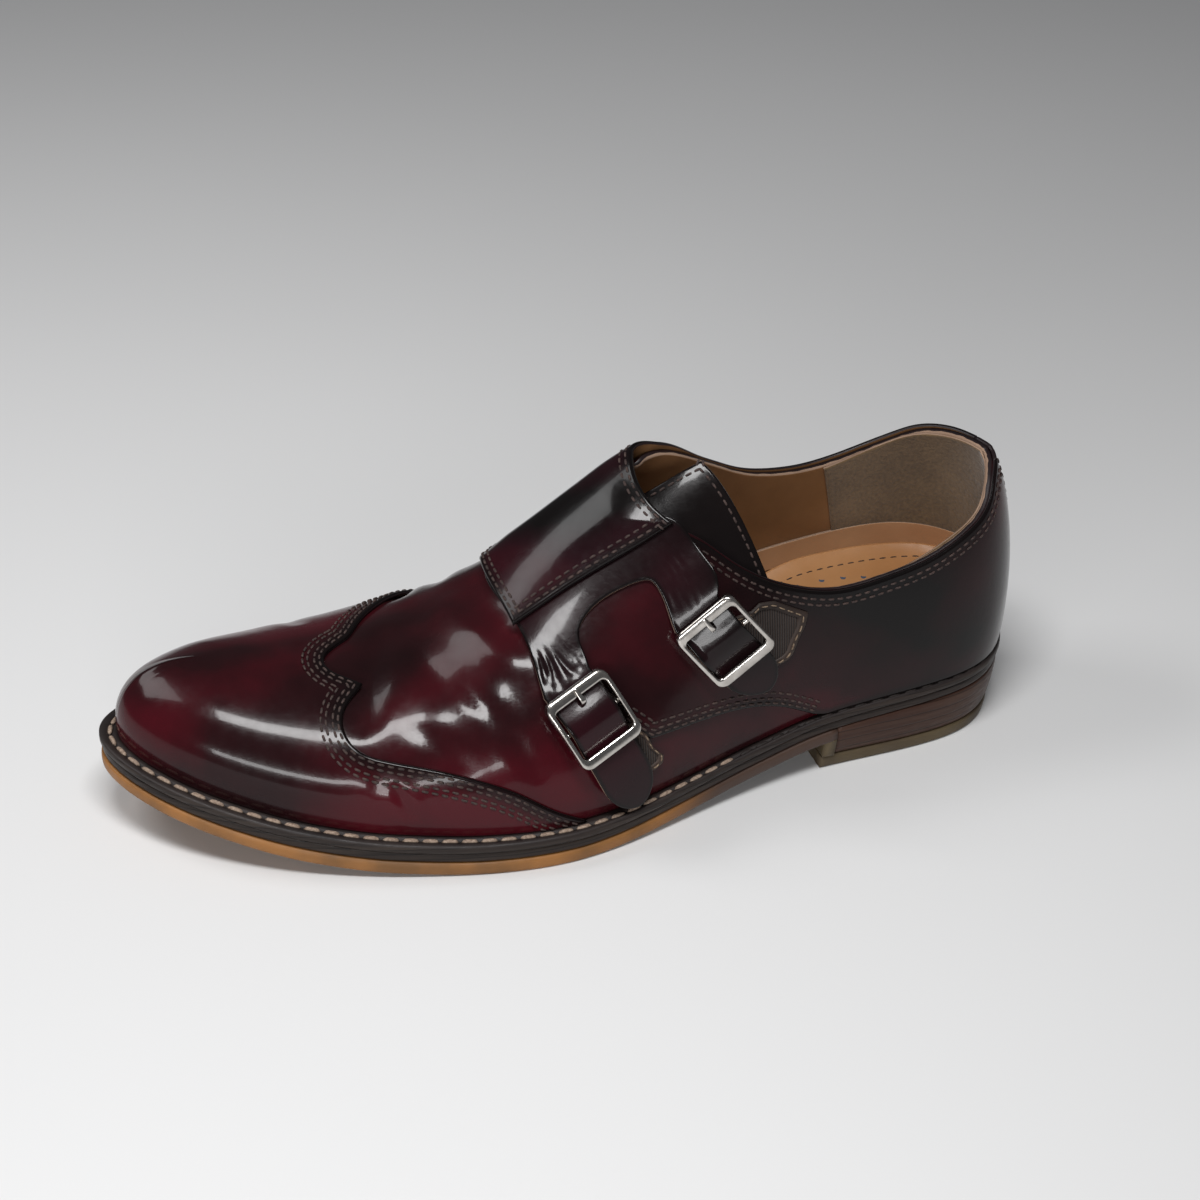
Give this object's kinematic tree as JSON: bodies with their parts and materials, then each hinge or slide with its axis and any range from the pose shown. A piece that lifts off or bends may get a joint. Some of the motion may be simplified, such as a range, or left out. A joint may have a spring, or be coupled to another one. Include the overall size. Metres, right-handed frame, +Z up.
{
  "type": "monk strap shoe",
  "caption": "Left double monk strap shoe with a winged toe cap, welted sole and stacked heel; open at the collar for a foot.",
  "frame": {"origin": "under the middle of the shoe's box, on the plane that heel and forefoot stand on", "axes": "+X from heel to toe, +Y towards the outer side of the foot, +Z up"},
  "size_m": [0.288, 0.1058, 0.1052],
  "materials": {
    "outsole_tan": "satin moulded tan rubber, scuffed",
    "heel_brown": "stacked leather, stained brown, streaked",
    "sole_edge_dark": "stained dark edge with a groove and stitches",
    "upper_burgundy": "polished brush-off leather, burgundy fading to near black",
    "strap_leather": "creased dark aubergine leather with raw pale edges",
    "footbed_tan": "smooth tan leather, perforated, stitched near its rim",
    "elastic_brown": "ribbed elastic webbing with a leather border",
    "buckle_nickel": "polished nickel with soft wear"
  },
  "bodies": {
    "root": {"outsole": "outsole_tan", "heel_stack": "heel_brown", "midsole": "sole_edge_dark", "welt": "sole_edge_dark", "insole": "footbed_tan", "upper": "upper_burgundy", "tongue": "strap_leather", "toe_cap": "upper_burgundy", "quarter_lateral": "upper_burgundy", "quarter_medial": "upper_burgundy", "back_strip": "upper_burgundy", "straps": "strap_leather", "tab_upper": "elastic_brown", "tab_lower": "elastic_brown", "buckle_lower": "buckle_nickel", "buckle_upper": "buckle_nickel", "prong_lower": "buckle_nickel", "prong_upper": "buckle_nickel"}
  },
  "joints": []
}
